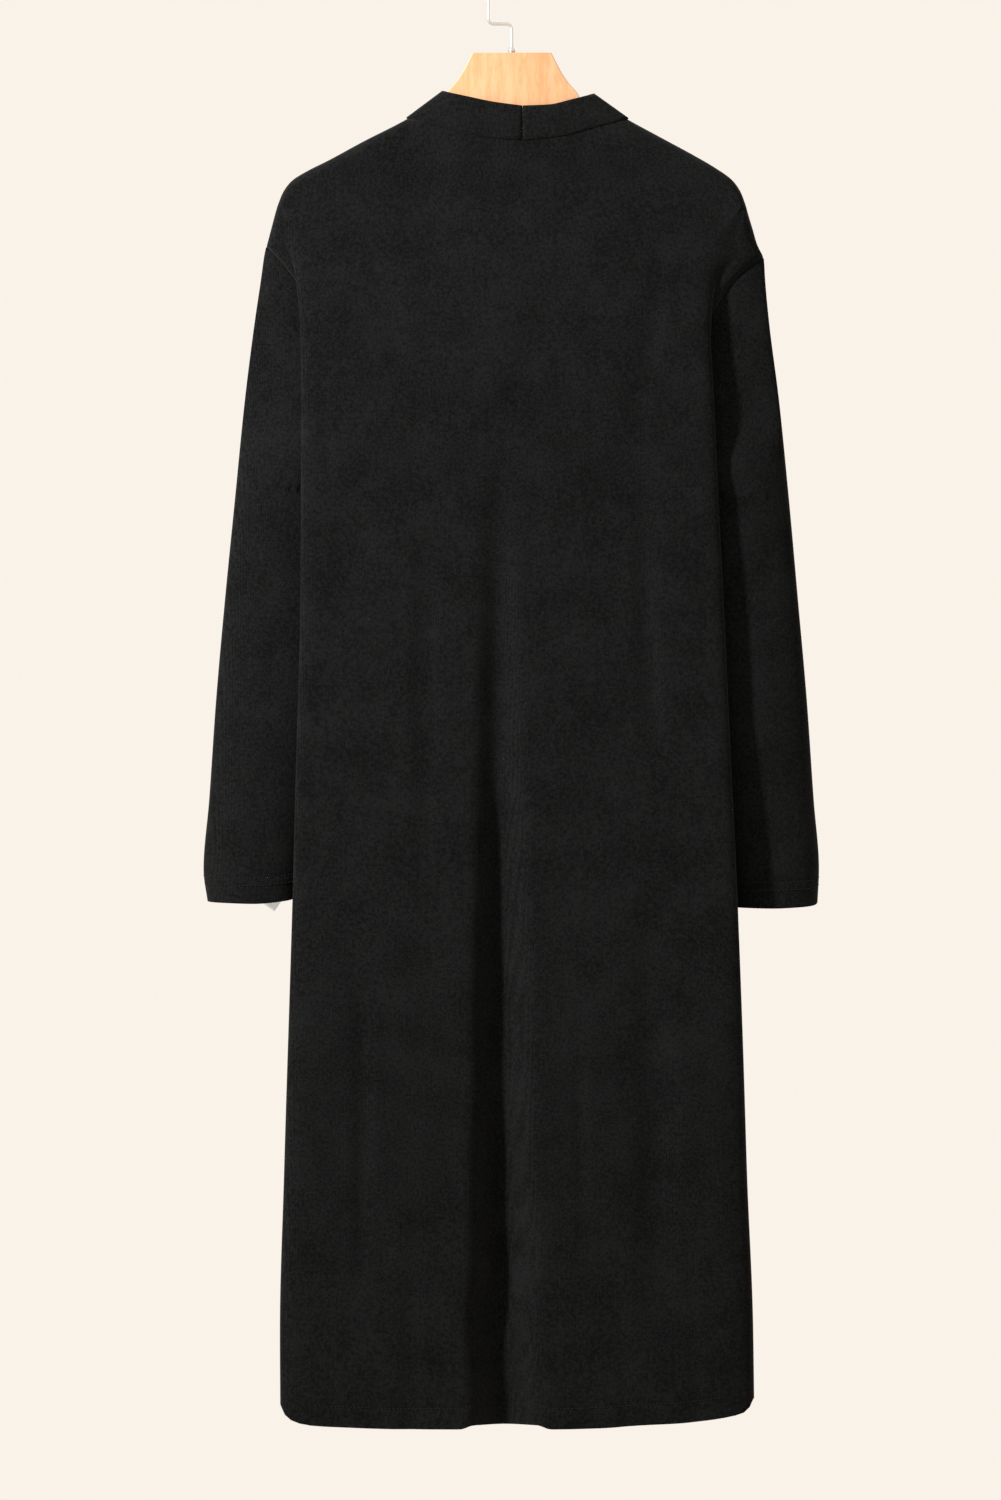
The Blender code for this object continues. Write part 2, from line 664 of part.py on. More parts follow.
def make_hook(collection):
    steel = principled("steel", (0.7, 0.7, 0.68), 0.25, 1.0)
    route = hook_route()
    curve = bpy.data.curves.new("hanger_hook", "CURVE")
    curve.dimensions = "3D"
    curve.bevel_depth = WIRE_RADIUS * MM
    curve.bevel_resolution = 2
    curve.use_fill_caps = True
    spline = curve.splines.new("POLY")
    spline.points.add(len(route) - 1)
    for point, (x, drop) in zip(spline.points, route):
        point.co = (x * MM, 0.0, -drop * MM, 1.0)
    add_object("hanger_hook", curve, steel, collection)

    bore = WIRE_RADIUS + SEAM_GAP
    base = BOARD_TOP[0].drop - SEAM_GAP
    top = base - FERRULE_HEIGHT
    middle = base - FERRULE_HEIGHT * 0.45
    profile = [(bore, top), (FERRULE_RADIUS * 0.75, top), (FERRULE_RADIUS, middle),
               (FERRULE_RADIUS * 0.8, base), (bore, base)]
    mesh = bpy.data.meshes.new("hanger_ferrule")
    build = bmesh.new()
    ring = [build.verts.new((out * MM, 0.0, -drop * MM)) for out, drop in profile]
    edges = [build.edges.new((ring[k], ring[(k + 1) % len(ring)])) for k in range(len(ring))]
    bmesh.ops.spin(build, geom=ring + edges, cent=(0, 0, 0), axis=(0, 0, 1), dvec=(0, 0, 0),
                   angle=2.0 * math.pi, steps=20, use_merge=True, use_duplicate=False)
    bmesh.ops.recalc_face_normals(build, faces=build.faces)
    build.to_mesh(mesh)
    build.free()
    add_object("hanger_ferrule", mesh, steel, collection)


def make_label(collection):
    """A blank care label: sewn at the side seam, it leans out past the cuff."""
    white = principled("label", (0.85, 0.85, 0.84), 0.5)
    root = LABEL_ROOT
    lean = math.radians(LABEL_LEAN)
    along = (-math.cos(lean), math.sin(lean))
    across = (-math.sin(lean), -math.cos(lean))
    grid = []
    for i in range(4):
        column = []
        for j in range(7):
            share = j / 6.0
            out = 0.0 if i == 0 else LABEL_WIDTH * i / 3.0
            x = root[0] + along[0] * LABEL_LENGTH * share + across[0] * out
            drop = root[2] + along[1] * LABEL_LENGTH * share + across[1] * out
            reach = min((root[0] - x) / LABEL_CURL_REACH, 1.0)
            y = root[1] + LABEL_CURL * (1.0 - (1.0 - reach) ** 2)
            column.append((x, y, drop))
        grid.append(column)
    cloth_object("care_label", grid, white, collection, LABEL_THICKNESS)


def main():
    for item in list(bpy.data.objects):
        bpy.data.objects.remove(item, do_unlink=True)
    collection = bpy.data.collections.new(COLLECTION)
    bpy.context.scene.collection.children.link(collection)
    make_body(collection)
    make_sleeves(collection)
    make_bands(collection)
    make_hanger(collection)
    make_hook(collection)
    make_label(collection)


main()
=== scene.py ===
import math
from bisect import bisect_right
from collections import namedtuple

import bmesh
import bpy
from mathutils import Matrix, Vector, noise


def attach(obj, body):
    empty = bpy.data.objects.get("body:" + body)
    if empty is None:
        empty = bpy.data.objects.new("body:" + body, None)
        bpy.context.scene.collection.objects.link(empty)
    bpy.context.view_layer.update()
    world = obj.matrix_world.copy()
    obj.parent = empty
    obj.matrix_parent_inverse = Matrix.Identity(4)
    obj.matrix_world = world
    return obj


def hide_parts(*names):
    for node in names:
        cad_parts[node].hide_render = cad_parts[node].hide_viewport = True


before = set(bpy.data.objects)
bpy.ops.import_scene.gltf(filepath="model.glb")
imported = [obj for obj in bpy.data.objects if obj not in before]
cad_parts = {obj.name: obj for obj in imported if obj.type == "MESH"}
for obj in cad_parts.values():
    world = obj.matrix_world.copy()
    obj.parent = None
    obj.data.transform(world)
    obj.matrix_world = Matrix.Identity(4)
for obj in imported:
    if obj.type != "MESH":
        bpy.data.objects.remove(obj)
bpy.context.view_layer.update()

# The camera stands level with the middle of the hanging garment and looks at
# its back. Lengths are in metres; one pixel of the 1001 by 1500 picture is
# 0.85 mm at the cloth.
PIXEL = 0.00085
AXIS_PX = 511.9
ORIGIN_PX = -30.2
MIDDLE_PX = (500.5, 750.0)
CAMERA_DISTANCE = 9.0
FRAME_HEIGHT = 1500 * PIXEL
SENSOR = 36.0

view_point = Vector(((MIDDLE_PX[0] - AXIS_PX) * PIXEL, 0.0, -(MIDDLE_PX[1] - ORIGIN_PX) * PIXEL))
camera_data = bpy.data.cameras.new("camera")
camera_data.sensor_width = SENSOR
camera_data.lens = SENSOR * (CAMERA_DISTANCE - 0.02) / FRAME_HEIGHT
camera = bpy.data.objects.new("camera", camera_data)
camera.location = view_point + Vector((0.0, -CAMERA_DISTANCE, 0.0))
camera.rotation_euler = (math.pi / 2.0, 0.0, 0.0)
bpy.context.scene.collection.objects.link(camera)
bpy.context.scene.camera = camera
bpy.context.scene.view_settings.view_transform = "Standard"

# A warm, low studio light stands to the left, as tall as the garment. The
# room fills the shadows, and a pale round floor lies well below the hem.
KEY_SIDE = math.radians(54.0)
KEY_RISE = math.radians(24.0)
KEY_DISTANCE = 2.3
KEY_LIFT = 0.25
FLOOR_DROP = 1.75

key_data = bpy.data.lights.new("key", "AREA")
key_data.shape = "RECTANGLE"
key_data.size = 0.20
key_data.size_y = 0.45
key_data.energy = 150.0
key_data.color = (1.0, 0.97, 0.93)
key = bpy.data.objects.new("key", key_data)
key_way = Vector((-math.sin(KEY_SIDE) * math.cos(KEY_RISE), -math.cos(KEY_SIDE) * math.cos(KEY_RISE),
                  math.sin(KEY_RISE)))
key.location = view_point + Vector((0.0, 0.0, KEY_LIFT)) + key_way * KEY_DISTANCE
key.rotation_euler = (-key_way).to_track_quat("-Z", "Y").to_euler()
bpy.context.scene.collection.objects.link(key)

fill_data = bpy.data.lights.new("fill", "AREA")
fill_data.size = 2.4
fill_data.energy = 22.0
fill = bpy.data.objects.new("fill", fill_data)
fill_way = Vector((0.35, 0.9, 0.45)).normalized()
fill.location = view_point + fill_way * 3.2
fill.rotation_euler = (-fill_way).to_track_quat("-Z", "Y").to_euler()
bpy.context.scene.collection.objects.link(fill)

world = bpy.data.worlds.new("room")
world.use_nodes = True
world.node_tree.nodes["Background"].inputs["Color"].default_value = (0.955, 0.89, 0.81, 1.0)
world.node_tree.nodes["Background"].inputs["Strength"].default_value = 1.0
bpy.context.scene.world = world


class Value:
    """A socket of a material's nodes, or a number, that adds maths nodes as it is used."""

    def __init__(self, tree, socket):
        self.tree, self.socket = tree, socket

    def node(self, kind, settings=None, out=0, **sockets):
        made = self.tree.nodes.new(kind)
        for name, setting in (settings or {}).items():
            setattr(made, name, setting)
        for name, given in sockets.items():
            key = int(name[1:]) if name[0] == "i" and name[1:].isdigit() else name.replace("_", " ")
            if isinstance(given, Value):
                self.tree.links.new(given.socket, made.inputs[key])
            else:
                made.inputs[key].default_value = given
        return Value(self.tree, made.outputs[out])

    def maths(self, operation, first, second=0.0):
        return self.node("ShaderNodeMath", {"operation": operation}, i0=first, i1=second)

    def __add__(self, other):
        return self.maths("ADD", self, other)

    def __radd__(self, other):
        return self.maths("ADD", other, self)

    def __sub__(self, other):
        return self.maths("SUBTRACT", self, other)

    def __rsub__(self, other):
        return self.maths("SUBTRACT", other, self)

    def __mul__(self, other):
        return self.maths("MULTIPLY", self, other)

    def __rmul__(self, other):
        return self.maths("MULTIPLY", other, self)

    def stepped(self, low, high):
        return self.node("ShaderNodeMapRange", {"interpolation_type": "SMOOTHSTEP"},
                         i0=self, i1=low, i2=high)

    def mixed(self, first, second):
        """This share of the second colour over the first."""
        return self.node("ShaderNodeMix", {"data_type": "RGBA"}, 2, i0=self, i6=first, i7=second)


def new_finish(name, **constants):
    """A Principled material with its constant sockets set, and a Value to build its nodes from."""
    finish = bpy.data.materials.new(name)
    finish.use_nodes = True
    shader = finish.node_tree.nodes["Principled BSDF"]
    for socket, constant in constants.items():
        shader.inputs[socket.replace("_", " ")].default_value = constant
    return finish, shader, Value(finish.node_tree, None)


def plug(shader, socket, value):
    value.tree.links.new(value.socket, shader.inputs[socket])


floor_mesh = bpy.data.meshes.new("floor")
build = bmesh.new()
bmesh.ops.create_circle(build, cap_ends=True, segments=96, radius=1.4)
bmesh.ops.translate(build, verts=build.verts, vec=(0.0, 0.0, -FLOOR_DROP))
build.to_mesh(floor_mesh)
build.free()
floor = bpy.data.objects.new("floor", floor_mesh)
bpy.context.scene.collection.objects.link(floor)
floor_finish, shader, start = new_finish("floor_paint", Roughness=0.8)
place = start.node("ShaderNodeTexCoord", out=3)
cloud = start.node("ShaderNodeTexNoise", Vector=place, Scale=2.0, Detail=3.0)
plug(shader, "Base Color", cloud.mixed((0.40, 0.37, 0.33, 1.0), (0.44, 0.41, 0.37, 1.0)))
floor_mesh.materials.append(floor_finish)


# The hanger is a flat beech board, sawn to a shoulder shape with a short neck,
# rounded over at its edges, sanded and varnished. It stays where the frame's
# board is, and this one has finer curves.
BOARD_THICKNESS = 0.0110
BOARD_ROUNDING = 0.0042
Board = namedtuple("Board", "out drop")
BOARD_EDGE = [
    Board(33.6, 69.4),
    Board(36.9, 76.0),
    Board(41.8, 85.4),
    Board(48.5, 95.4),
    Board(54.6, 102.2),
    Board(60.0, 110.4),
    Board(72.0, 124.4),
    Board(88.0, 135.4),
    Board(108.0, 140.8),
    Board(125.0, 147.2),
    Board(156.0, 163.4),
    Board(172.0, 171.6),
    Board(181.0, 178.2),
    Board(187.4, 185.6),
    Board(189.6, 192.0),
    Board(188.4, 198.0),
    Board(183.5, 201.6),
    Board(176.0, 200.4),
    Board(150.0, 188.6),
    Board(110.0, 172.8),
    Board(60.0, 160.4),
    Board(25.0, 155.6),
    Board(0.0, 154.8),
]
MM = 0.001


def through(points, steps):
    """A smooth line through points, as a centripetal curve would draw it."""
    line = []
    for k in range(len(points) - 1):
        before = points[max(k - 1, 0)]
        a, b = points[k], points[k + 1]
        after = points[min(k + 2, len(points) - 1)]
        for step in range(steps):
            t = step / steps
            line.append(tuple(
                0.5 * (2 * a[i] + (b[i] - before[i]) * t
                       + (2 * before[i] - 5 * a[i] + 4 * b[i] - after[i]) * t * t
                       + (3 * a[i] - before[i] - 3 * b[i] + after[i]) * t * t * t)
                for i in range(len(a))))
    line.append(tuple(points[-1]))
    return line


def as_piece(name, build, finish):
    """Turns a bmesh into a finished piece on the frame's one body."""
    mesh = bpy.data.meshes.new(name)
    build.to_mesh(mesh)
    build.free()
    mesh.shade_smooth()
    mesh.materials.append(finish)
    piece = bpy.data.objects.new(name, mesh)
    bpy.context.scene.collection.objects.link(piece)
    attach(piece, "root")
    return piece


wood, shader, start = new_finish("varnished_beech", Roughness=0.42, Coat_Weight=0.35, Coat_Roughness=0.18)
place = start.node("ShaderNodeTexCoord", out=3)
stretched = start.node("ShaderNodeMapping", Vector=place, Scale=(46.0, 40.0, 7.0),
                       Rotation=(0.0, 0.45, 0.0))
grain = start.node("ShaderNodeTexNoise", Vector=stretched, Scale=3.2, Detail=6.0, Roughness=0.62)
fine = start.node("ShaderNodeTexNoise", Vector=stretched, Scale=26.0, Detail=3.0)
streak = (grain * 0.75 + fine * 0.25).stepped(0.36, 0.68)
pale, ruddy = (0.46, 0.265, 0.14, 1.0), (0.41, 0.18, 0.066, 1.0)
plug(shader, "Base Color", (streak * 0.8).mixed(pale, ruddy))
plug(shader, "Roughness", 0.36 + fine * 0.14)
bump = start.node("ShaderNodeBump", Strength=0.25, Distance=0.0002, Height=grain + fine * 0.5)
plug(shader, "Normal", bump)

half = through([(row.out, row.drop) for row in BOARD_EDGE], 8)
outline = half + [(-out, drop) for out, drop in reversed(half[:-1])]
build = bmesh.new()
rim = [build.verts.new((out * MM, -BOARD_THICKNESS / 2.0, -drop * MM)) for out, drop in outline]
face = build.faces.new(rim)
grown = bmesh.ops.extrude_face_region(build, geom=[face])
moved = [item for item in grown["geom"] if isinstance(item, bmesh.types.BMVert)]
bmesh.ops.translate(build, verts=moved, vec=(0.0, BOARD_THICKNESS, 0.0))
edges = [edge for edge in build.edges if abs(edge.verts[0].co.y - edge.verts[1].co.y) < 1e-6]
bmesh.ops.bevel(build, geom=edges, offset=BOARD_ROUNDING, segments=5, profile=0.5, material=-1,
                affect="EDGES", clamp_overlap=True)
bmesh.ops.recalc_face_normals(build, faces=build.faces)
bmesh.ops.triangulate(build, faces=[face for face in build.faces if len(face.verts) > 4])
board = as_piece("hanger_wood", build, wood)
board.data.set_sharp_from_angle(angle=math.radians(50.0))
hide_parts("hanger_board")


# The hook is bright plated wire, 3 mm thick. It comes up out of a small
# ferrule on the board, cranks to the left and turns over where the rail goes.
WIRE = 0.0015
HOOK_RADIUS = 0.020
CRANK_DROP = 0.0446
CRANK_BEND = 0.0045

steel, shader, start = new_finish("plated_wire", Metallic=1.0, Roughness=0.22)
place = start.node("ShaderNodeTexCoord", out=3)
smear = start.node("ShaderNodeTexNoise", Vector=place, Scale=420.0, Detail=3.0)
plug(shader, "Base Color", smear.mixed((0.62, 0.60, 0.57, 1.0), (0.82, 0.81, 0.79, 1.0)))
plug(shader, "Roughness", 0.16 + smear * 0.2)

route = []
for step in range(-5, 61):
    angle = math.radians(3.0 * step)
    route.append((HOOK_RADIUS * math.cos(angle), -(HOOK_RADIUS - WIRE) + HOOK_RADIUS * math.sin(angle)))
for step in range(9):
    angle = math.radians(11.25 * step)
    route.append((-HOOK_RADIUS + CRANK_BEND * (1.0 - math.cos(angle)),
                  -(CRANK_DROP - CRANK_BEND + CRANK_BEND * math.sin(angle))))
for step in range(9):
    angle = math.radians(11.25 * step)
    route.append((-CRANK_BEND * (1.0 - math.sin(angle)),
                  -(CRANK_DROP + CRANK_BEND * (1.0 - math.cos(angle)))))
route.append((0.0, -(BOARD_EDGE[0].drop * MM - 0.0003)))
line = bpy.data.curves.new("hook_wire", "CURVE")
line.dimensions = "3D"
line.bevel_depth = WIRE
line.bevel_resolution = 5
line.use_fill_caps = True
spline = line.splines.new("POLY")
spline.points.add(len(route) - 1)
for point, (x, z) in zip(spline.points, route):
    point.co = (x, 0.0, z, 1.0)
spline.use_smooth = True
line.materials.append(steel)
wire = bpy.data.objects.new("hook_wire", line)
bpy.context.scene.collection.objects.link(wire)
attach(wire, "root")
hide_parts("hanger_hook")

FERRULE = [(1.8, 65.0), (2.4, 64.7), (3.1, 66.0), (3.4, 67.2), (3.1, 68.3), (2.6, 68.7),
           (3.3, 69.1), (1.8, 69.1)]
build = bmesh.new()
ring = [build.verts.new((out * MM, 0.0, -drop * MM)) for out, drop in FERRULE]
edges = [build.edges.new((ring[k], ring[(k + 1) % len(ring)])) for k in range(len(ring))]
bmesh.ops.spin(build, geom=ring + edges, cent=(0, 0, 0), axis=(0, 0, 1), dvec=(0, 0, 0),
               angle=2.0 * math.pi, steps=48, use_merge=True, use_duplicate=False)
bmesh.ops.recalc_face_normals(build, faces=build.faces)
ferrule = as_piece("hook_ferrule", build, steel)
ferrule.data.set_sharp_from_angle(angle=math.radians(40.0))
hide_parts("hanger_ferrule")


# The knit is a black brushed jersey, 1.4 mm thick. Each panel hangs in the
# folds that its own weight gives it. Sizes of the cloth are in millimetres:
# drop is a distance below the hook and out one sideways from its axis.
CLOTH = 1.4
BAND_CLOTH = 2.8
SEAM_GAP = 0.3
BAND_WIDTH = 38.0
HEM_DROP = 1240.0
UNDERARM_DROP = {"left": 440.0, "right": 448.0}
SHOULDER_POINT = {"left": 234.0, "right": 243.0}
FOLD_START = 199.0
NECK_KINK = {"left": (89.2, 126.4), "right": (98.7, 126.8)}
CENTRE_BACK = 9.0
SIGN = {"left": -1.0, "right": 1.0}
NECK_DEPTH = 11.0
NECK_ROUNDNESS = 8.0
WALL_EASE = 3.0

# The shoulder line, from the neck to the end of the dropped shoulder
Shoulder = namedtuple("Shoulder", "out left right")
SHOULDER_LINE = [
    Shoulder(89.2, 126.4, 121.0),
    Shoulder(98.7, 131.5, 126.8),
    Shoulder(124.9, 144.7, 141.1),
    Shoulder(156.3, 161.7, 158.1),
    Shoulder(173.3, 170.2, 168.1),
    Shoulder(186.9, 178.7, 177.9),
    Shoulder(193.7, 187.2, 186.9),
    Shoulder(198.0, 197.0, 197.6),
    Shoulder(200.5, 205.0, 206.5),
    Shoulder(204.8, 221.2, 220.8),
    Shoulder(208.2, 234.0, 232.5),
    Shoulder(213.4, 250.0, 243.0),
]

ShoulderEnd = namedtuple("ShoulderEnd", "drop out")

# The back neck seam, left to right
Neck = namedtuple("Neck", "x drop")
NECK_SEAM = [
    Neck(-89.2, 126.4),
    Neck(-72.2, 130.0),
    Neck(-52.6, 135.7),
    Neck(-20.0, 142.3),
    Neck(9.0, 144.3),
    Neck(40.9, 141.3),
    Neck(74.0, 132.8),
    Neck(98.7, 126.8),
]
# The fold at each side of the back, and of the front, by drop
Fold = namedtuple("Fold", "drop left right front_left front_right")
FOLD_OUT = [
    Fold(199.0, 198.3, 197.9, 198.3, 197.9),
    Fold(215.0, 188.6, 186.0, 190.0, 188.0),
    Fold(235.0, 184.2, 173.5, 184.0, 178.0),
    Fold(265.0, 181.8, 168.4, 180.0, 170.0),
    Fold(300.0, 179.6, 168.2, 177.0, 168.0),
    Fold(361.0, 178.4, 171.1, 174.0, 167.0),
    Fold(450.0, 178.7, 175.0, 170.0, 166.0),
    Fold(536.0, 179.2, 179.4, 167.0, 167.0),
    Fold(689.0, 183.3, 186.4, 171.0, 173.0),
    Fold(793.0, 185.9, 191.4, 178.0, 181.0),
    Fold(897.0, 188.6, 194.7, 182.0, 188.0),
    Fold(1024.0, 192.0, 198.1, 186.0, 193.0),
    Fold(1152.0, 195.4, 203.2, 190.0, 198.0),
    Fold(1240.0, 194.6, 204.1, 189.0, 199.0),
]

# Half depths of the hanging body and the roundness of its side folds
Depth = namedtuple("Depth", "drop back front bend")
BODY_DEPTH = [
    Depth(100.0, 9.6, 9.6, 0.0),
    Depth(199.0, 12.0, 12.0, 0.0),
    Depth(225.0, 14.5, 14.5, 2.0),
    Depth(250.0, 17.5, 17.5, 3.8),
    Depth(300.0, 22.5, 22.5, 4.5),
    Depth(360.0, 25.5, 26.0, 4.6),
    Depth(440.0, 28.5, 29.0, 4.6),
    Depth(600.0, 29.0, 34.0, 4.8),
    Depth(793.0, 29.5, 34.5, 5.5),
    Depth(1000.0, 30.5, 34.0, 8.5),
    Depth(1240.0, 31.5, 33.0, 10.0),
]

# The armhole seam down to the underarm, then the side seam
Seam = namedtuple("Seam", "drop out half_opening mid")
SIDE_SEAM = {
    "left": [
        Seam(234.0, 208.2, 0.2, 0.0),
        Seam(243.3, 199.2, 3.4, 0.0),
        Seam(252.0, 192.0, 5.0, 0.0),
        Seam(263.7, 183.5, 6.0, 0.0),
        Seam(300.0, 166.0, 7.6, 0.0),
        Seam(340.0, 151.0, 9.0, 0.0),
        Seam(380.0, 139.0, 8.6, 0.0),
        Seam(415.0, 130.5, 5.5, 0.0),
        Seam(440.0, 127.0, 0.2, 0.0),
        Seam(500.0, 133.0, 0.2, 1.5),
        Seam(600.0, 148.0, 0.2, 4.0),
        Seam(700.0, 163.0, 0.2, 6.0),
        Seam(793.0, 174.0, 0.2, 8.0),
        Seam(900.0, 179.0, 0.2, 6.0),
        Seam(1000.0, 183.0, 0.2, 4.0),
        Seam(1240.0, 188.0, 0.2, 0.0),
    ],
    "right": [
        Seam(243.0, 213.4, 0.2, 0.0),
        Seam(247.5, 206.6, 2.8, 0.0),
        Seam(255.2, 196.4, 4.4, 0.0),
        Seam(265.4, 186.2, 5.8, 0.0),
        Seam(279.0, 177.7, 7.2, 0.0),
        Seam(300.0, 165.5, 8.4, 0.0),
        Seam(340.0, 149.0, 9.0, 0.0),
        Seam(380.0, 137.0, 8.8, 0.0),
        Seam(420.0, 127.0, 6.0, 0.0),
        Seam(448.0, 122.0, 0.2, 0.0),
        Seam(500.0, 127.0, 0.2, 1.5),
        Seam(600.0, 142.0, 0.2, 4.0),
        Seam(700.0, 161.0, 0.2, 6.0),
        Seam(793.0, 177.0, 0.2, 8.0),
        Seam(900.0, 185.0, 0.2, 6.0),
        Seam(1000.0, 190.0, 0.2, 4.0),
        Seam(1240.0, 197.0, 0.2, 0.0),
    ],
}

# The front edges, where the band is sewn on, and the band's slant there
FrontEdge = namedtuple("FrontEdge", "drop left right slant")
FRONT_EDGE = [
    FrontEdge(126.4, 89.2, 98.7, 38.0),
    FrontEdge(150.0, 87.5, 96.5, 31.0),
    FrontEdge(200.0, 83.0, 90.0, 19.0),
    FrontEdge(300.0, 73.0, 80.0, 6.0),
    FrontEdge(420.0, 66.0, 72.0, 0.0),
    FrontEdge(800.0, 64.0, 70.0, 0.0),
    FrontEdge(1240.0, 62.0, 71.0, 0.0),
]

# Folds pressed in by hanging: crest is where the cloth starts to fall back,
# width runs to where it is level again, and fall is the share of that width
# at which the fold is deepest. A negative depth is a ridge.
Crease = namedtuple("Crease", "face top bottom crest_top crest_bottom "
                              "width_top width_bottom fall depth")
CREASES = [
    Crease("back", 405.0, 1400.0, -30.0, -46.0, 36.0, 82.0, 0.48, 27.0),
    Crease("back", 780.0, 1180.0, 92.0, 98.0, 50.0, 62.0, 0.45, 5.0),
    Crease("back", 470.0, 780.0, -88.0, -92.0, 26.0, 34.0, 0.50, 2.6),
    Crease("back", 860.0, 1120.0, -140.0, -142.0, 24.0, 34.0, 0.50, 3.2),
    Crease("back", 420.0, 700.0, 96.0, 104.0, 26.0, 34.0, 0.50, 2.4),
    Crease("back", 500.0, 700.0, -76.0, -74.0, 16.0, 18.0, 0.40, 1.4),
    Crease("back", 345.0, 455.0, -168.0, -160.0, 14.0, 16.0, 0.50, 1.2),
    Crease("back", 900.0, 1090.0, 48.0, 54.0, 16.0, 20.0, 0.40, 1.8),
    Crease("back", 1090.0, 1400.0, 84.0, 92.0, 14.0, 22.0, 0.45, 2.2),
    Crease("back", 590.0, 650.0, 112.0, 118.0, 12.0, 14.0, 0.40, 1.0),
    Crease("back", 980.0, 1150.0, -136.0, -134.0, 12.0, 16.0, 0.40, 1.4),
    Crease("back", 1010.0, 1400.0, -96.0, -104.0, 22.0, 34.0, 0.50, 2.6),
    Crease("back", 1040.0, 1400.0, 140.0, 150.0, 18.0, 28.0, 0.50, 2.4),
    Crease("back", 225.0, 420.0, 20.0, -34.0, 60.0, 40.0, 0.50, 1.6),
    Crease("back", 210.0, 400.0, -140.0, -96.0, 26.0, 38.0, 0.50, 1.8),
    Crease("back", 215.0, 420.0, 118.0, 82.0, 26.0, 38.0, 0.50, 1.8),
    Crease("front", 430.0, 1500.0, -142.0, -150.0, 30.0, 58.0, 0.45, 15.0),
    Crease("front", 560.0, 1500.0, -104.0, -112.0, 20.0, 36.0, 0.50, 9.0),
    Crease("front", 470.0, 1500.0, 92.0, 96.0, 28.0, 54.0, 0.45, 13.0),
    Crease("front", 620.0, 1500.0, 142.0, 146.0, 22.0, 38.0, 0.50, 8.0),
    Crease("front", 210.0, 470.0, -150.0, -108.0, 24.0, 34.0, 0.50, 2.2),
    Crease("front", 215.0, 480.0, 128.0, 96.0, 24.0, 34.0, 0.50, 2.2),
    Crease("front", 300.0, 560.0, -100.0, -92.0, 18.0, 22.0, 0.45, 1.6),
    Crease("front", 330.0, 620.0, 112.0, 122.0, 18.0, 24.0, 0.45, 1.6),
]

# The hem's edge, from the left side fold to the right one
Hem = namedtuple("Hem", "x drop")
HEM_LINE = [
    Hem(-196.0, 1219.0),
    Hem(-193.5, 1226.0),
    Hem(-190.0, 1230.5),
    Hem(-182.0, 1234.5),
    Hem(-172.0, 1236.6),
    Hem(-146.0, 1238.2),
    Hem(-95.0, 1239.8),
    Hem(-44.0, 1240.0),
    Hem(-33.0, 1236.8),
    Hem(22.0, 1236.8),
    Hem(33.0, 1240.0),
    Hem(75.0, 1239.0),
    Hem(109.0, 1236.6),
    Hem(143.0, 1234.8),
    Hem(177.0, 1230.7),
    Hem(196.0, 1226.2),
    Hem(202.0, 1221.0),
    Hem(205.0, 1214.0),
]
HEM_TURN = 17.5            # the hem is turned up this far and stitched
CUFF_TURN = 22.0
RIPPLE = 0.55              # soft unevenness of the cloth between its folds


def smooth_step(value):
    value = min(max(value, 0.0), 1.0)
    return value * value * (3.0 - 2.0 * value)


def blend(low, high, share):
    return low + (high - low) * share


def follow(table, column, at):
    """Reads a table's column along its first one, smoothly and with no overshoot."""
    keys = [row[0] for row in table]
    values = [getattr(row, column) for row in table]
    if at <= keys[0]:
        return values[0]
    if at >= keys[-1]:
        return values[-1]
    k = bisect_right(keys, at) - 1

    def rise(n):
        return (values[n + 1] - values[n]) / (keys[n + 1] - keys[n])

    def slope(n):
        if n == 0:
            return rise(0)
        if n == len(keys) - 1:
            return rise(n - 1)
        before, after = rise(n - 1), rise(n)
        return 2.0 * before * after / (before + after) if before * after > 0.0 else 0.0

    span = keys[k + 1] - keys[k]
    t = (at - keys[k]) / span
    t2, t3 = t * t, t * t * t
    return ((2 * t3 - 3 * t2 + 1) * values[k] + (t3 - 2 * t2 + t) * span * slope(k)
            + (3 * t2 - 2 * t3) * values[k + 1] + (t3 - t2) * span * slope(k + 1))


def bezier(controls, t):
    s = 1.0 - t
    weights = (s * s * s, 3 * s * s * t, 3 * s * t * t, t * t * t)
    return tuple(sum(w * c[axis] for w, c in zip(weights, controls)) for axis in (0, 1))


def arch(fall):
    """The share of its full depth that cloth has this far below the shoulder line."""
    left = 1.0 - min(fall / 9.0, 1.0)
    return math.sqrt(1.0 - left * left)


def uneven(x, drop, size, seed):
    """Soft noise, longer down the cloth than across it."""
    return noise.noise(Vector((x / size, drop / (size * 3.2), seed)))


def crease_depth(face, x, drop):
    total = 0.0
    for number, crease in enumerate(CREASES):
        if crease.face != face or not crease.top < drop < crease.bottom:
            continue
        along = (drop - crease.top) / (crease.bottom - crease.top)
        width = blend(crease.width_top, crease.width_bottom, along)
        sway = 0.05 * width * noise.noise(Vector((0.0, drop / 70.0, 3.0 * number)))
        share = (x - blend(crease.crest_top, crease.crest_bottom, along) - sway) / width
        if not 0.0 < share < 1.0:
            continue
        if share < crease.fall:
            profile = smooth_step(share / crease.fall)
        else:
            profile = 1.0 - smooth_step((share - crease.fall) / (1.0 - crease.fall))
        if crease.bottom > HEM_DROP:
            strength = math.sin(min(along * 1.12, 1.0) * math.pi / 2.0)
        else:
            strength = math.sin(along * math.pi)
        wander = 1.0 + 0.16 * noise.noise(Vector((0.0, drop / 90.0, 7.0 + number)))
        total += crease.depth * profile * strength * wander
    return total


def fold_out(side, face, drop):
    return follow(FOLD_OUT, side if face == "back" else "front_" + side, drop)


def bend_start(side, face, drop):
    return fold_out(side, face, drop) - 2.4 * follow(BODY_DEPTH, "bend", drop)


